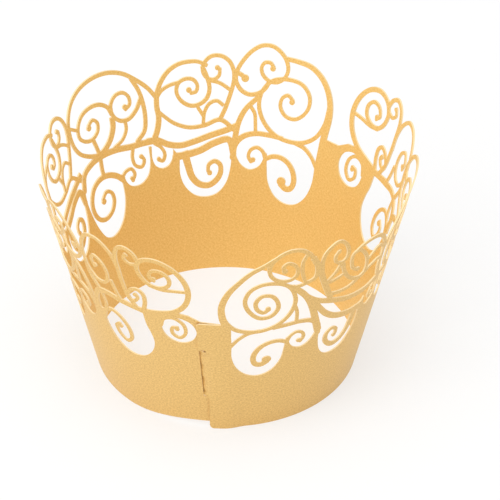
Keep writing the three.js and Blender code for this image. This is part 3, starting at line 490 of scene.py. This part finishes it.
# %% [markdown]
# ## Pearl card
# Pearl card is paper with a thin lacquer of mica flakes. Most of its colour is the gold paper, the flakes add a soft
# metallic sheen, and the felt of the paper shows as a fine grain. The grain is drawn in the plane of the sheet, so
# it follows the roll as real fibres do. First come the helpers: colours are written as the sRGB hex values that a
# picture shows, and one function turns them to linear light.


# %% Colours and nodes
def linear(code):
    """An sRGB hex colour as linear light."""
    c = np.array([int(code[i:i + 2], 16) for i in (1, 3, 5)]) / 255
    return (*np.where(c <= 0.04045, c / 12.92, ((c + 0.055) / 1.055) ** 2.4), 1.0)


def node(tree, kind, links=(), **settings):
    """Adds a node, sets its inputs and properties by name, and links (output, input name) pairs into it."""
    made = tree.nodes.new(kind)
    for key, value in settings.items():
        if key in made.inputs:
            made.inputs[key].default_value = value
        else:
            setattr(made, key, value)
    for output, name in links:
        tree.links.new(output, made.inputs[name])
    return made


def material(name):
    """An empty material with its node tree and output."""
    made = bpy.data.materials.new(name)
    made.use_nodes = True
    made.node_tree.nodes.clear()
    return made, made.node_tree, made.node_tree.nodes.new("ShaderNodeOutputMaterial")


print("#808080 as linear light:", round(float(linear("#808080")[0]), 3))

# %% [markdown]
# ## The faces and the cut edge
# Three finishes share the sheet. The outside and the inside are the same lacquer, a quarter metallic for its mica and
# half rough for its satin gloss, but the inside looks a little yellower in the photograph; its deeper, brighter gold
# is painted light, standing in for the light that falls on the inner wall and bounces round inside the gold cup. The
# core that the laser lays bare is plain pulp, so it is matt and paler, and its pale colour also carries a painted
# highlight for the lit cut edges. Real felt fibres are a few hundredths of a millimetre wide, too fine to show, so
# the grain is drawn at 0.36 mm, as coarse as it reads in the photograph.


# %% Pearl faces and card core
def card_face(name, low, high, sheen):
    """One face of the card: the felt grain, a noise of GRAIN mm, tones the colour from low to high and raises a
    small bump, under a soft metallic gloss and a pale sheen. The noise scale is 1000 over GRAIN, as the card map
    is in metres."""
    made, tree, out = material(name)
    place = node(tree, "ShaderNodeUVMap", uv_map="card")
    felt = node(tree, "ShaderNodeTexNoise", [(place.outputs["UV"], "Vector")], Scale=1000 / GRAIN, Detail=4.0,
                Roughness=0.65)
    tone = node(tree, "ShaderNodeMapRange", [(felt.outputs["Fac"], "Value")])
    tone.inputs["From Min"].default_value, tone.inputs["From Max"].default_value = NOISE_SPAN
    gold = node(tree, "ShaderNodeMix", [(tone.outputs["Result"], "Factor")], data_type="RGBA")
    gold.inputs[6].default_value = linear(low)
    gold.inputs[7].default_value = linear(high)
    bump = node(tree, "ShaderNodeBump", [(felt.outputs["Fac"], "Height")], Strength=0.4, Distance=0.00003)
    skin = node(tree, "ShaderNodeBsdfPrincipled",
                [(gold.outputs[2], "Base Color"), (bump.outputs["Normal"], "Normal")], Metallic=0.25, Roughness=0.46)
    skin.inputs["Specular IOR Level"].default_value = 0.3
    skin.inputs["Sheen Weight"].default_value = sheen
    skin.inputs["Sheen Roughness"].default_value = 0.4
    skin.inputs["Sheen Tint"].default_value = linear("#fff2dc")
    tree.links.new(skin.outputs["BSDF"], out.inputs["Surface"])
    return made


GRAIN, NOISE_SPAN = 0.36, (0.34, 0.66)
pearl = card_face("pearl_card", "#d5ab64", "#f1ca80", 0.04)
# The inside face is painted deeper, brighter gold: painted light for the light falling on and bouncing round inside
# the cup.
back = card_face("pearl_card_back_painted_light", "#e6bb67", "#f7d188", 0.0)
# The core's pale colour is the paler pulp plus a painted highlight for the lit cut edges.
core, tree, out = material("card_core")
cut = node(tree, "ShaderNodeBsdfPrincipled", Roughness=0.7)
cut.inputs["Base Color"].default_value = linear("#f4d9a6")
tree.links.new(cut.outputs["BSDF"], out.inputs["Surface"])
for layer in (pearl, core, back):
    mesh.materials.append(layer)
print("pearl card has", len(pearl.node_tree.nodes), "nodes")

# %% [markdown]
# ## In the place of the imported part
# The fine sheet stands where the plain one is, so it replaces it.

# %% Riding the frame
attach(wrapper, "root")
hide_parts("card_wrapper")
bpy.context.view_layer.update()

# %% [markdown]
# ## The product table
# A pale matt floor takes the shadow. For rays that come from the camera, directly or by a mirror, a share of white
# light is mixed in, so it reads as a white table and still keeps the shadow.

# %% Floor
GLOW_SHARE = 0.6
floor_mesh = bpy.data.meshes.new("floor")
floor_mesh.from_pydata([(-3, -3, 0), (3, -3, 0), (3, 3, 0), (-3, 3, 0)], [], [(0, 1, 2, 3)])
floor = bpy.data.objects.new("floor", floor_mesh)
bpy.context.collection.objects.link(floor)
paper, tree, out = material("table_paper")
matt = node(tree, "ShaderNodeBsdfPrincipled", Roughness=0.9)
matt.inputs["Base Color"].default_value = linear("#f4f4f4")
glow = node(tree, "ShaderNodeEmission", Color=(1, 1, 1, 1), Strength=1.0)
seen = node(tree, "ShaderNodeLightPath")
first = node(tree, "ShaderNodeMath", [(seen.outputs["Is Camera Ray"], 0), (seen.outputs["Is Glossy Ray"], 1)],
             operation="MAXIMUM")
either = node(tree, "ShaderNodeMath", [(first.outputs["Value"], 0), (seen.outputs["Is Transmission Ray"], 1)],
              operation="MAXIMUM")
share = node(tree, "ShaderNodeMath", [(either.outputs["Value"], 0)], operation="MULTIPLY")
share.inputs[1].default_value = GLOW_SHARE
white = node(tree, "ShaderNodeMixShader", [(share.outputs["Value"], 0), (matt.outputs["BSDF"], 1),
                                           (glow.outputs["Emission"], 2)])
tree.links.new(white.outputs["Shader"], out.inputs["Surface"])
floor_mesh.materials.append(paper)
print("floor reaches", max(v.co.x for v in floor_mesh.vertices), "m to each side")

# %% [markdown]
# ## Soft light
# Light comes evenly from all round, with one soft box at the left front and one above, as in a catalogue
# photograph. The camera itself sees a pure white world.

# %% World and lamps
world = bpy.data.worlds.new("studio")
bpy.context.scene.world = world
world.use_nodes = True
tree = world.node_tree
tree.nodes.clear()
path = node(tree, "ShaderNodeLightPath")
white = node(tree, "ShaderNodeBackground", Color=(1, 1, 1, 1), Strength=1.0)
soft = node(tree, "ShaderNodeBackground", Color=(1, 1, 1, 1), Strength=0.8)
mix = node(tree, "ShaderNodeMixShader", [(path.outputs["Is Camera Ray"], 0), (soft.outputs[0], 1),
                                         (white.outputs[0], 2)])
tree.links.new(mix.outputs[0], node(tree, "ShaderNodeOutputWorld").inputs["Surface"])


def lamp(name, place, power, size):
    """A square soft box aimed at the wrapper's middle."""
    data = bpy.data.lights.new(name, "AREA")
    data.energy, data.size = power, size
    made = bpy.data.objects.new(name, data)
    made.location = place
    made.rotation_euler = (Vector((0, 0, 0.02)) - Vector(place)).to_track_quat("-Z", "Y").to_euler()
    bpy.context.collection.objects.link(made)


lamp("key", (-0.55, -0.42, 0.6), 2.6, 0.6)
lamp("top", (0.0, -0.2, 0.9), 2.2, 0.9)

# %% [markdown]
# ## The camera
# The camera was fitted to edge points of the foot and the sides in the photograph. Its distance, 0.8 m, was set and
# not fitted, and it looks down by 36.9 degrees. The long lens keeps the rim's circle almost free of perspective.

# %% Camera
DISTANCE, TILT, ROLL = 0.8, radians(36.877), radians(0.23)
AIM_X, AIM_Z = 0.004539, 0.022906
camera_data = bpy.data.cameras.new("camera")
camera_data.lens = 302.1
camera = bpy.data.objects.new("camera", camera_data)
camera.location = (AIM_X, -DISTANCE * np.cos(TILT), AIM_Z + DISTANCE * np.sin(TILT))
turn = Matrix.Rotation(radians(90) - TILT, 3, "X") @ Matrix.Rotation(ROLL, 3, "Z")
camera.rotation_euler = turn.to_euler()
bpy.context.collection.objects.link(camera)
bpy.context.scene.camera = camera
bpy.context.scene.view_settings.view_transform = "Standard"
print("camera:", round(camera_data.lens), "mm lens at", [round(v, 3) for v in camera.location])

# %% [markdown]
# ## The sheet's box
# The sheet was clipped to the imported part's box, so it stays within that box.

# %% The sheet's box
print("the sheet was clipped to the imported part's box")
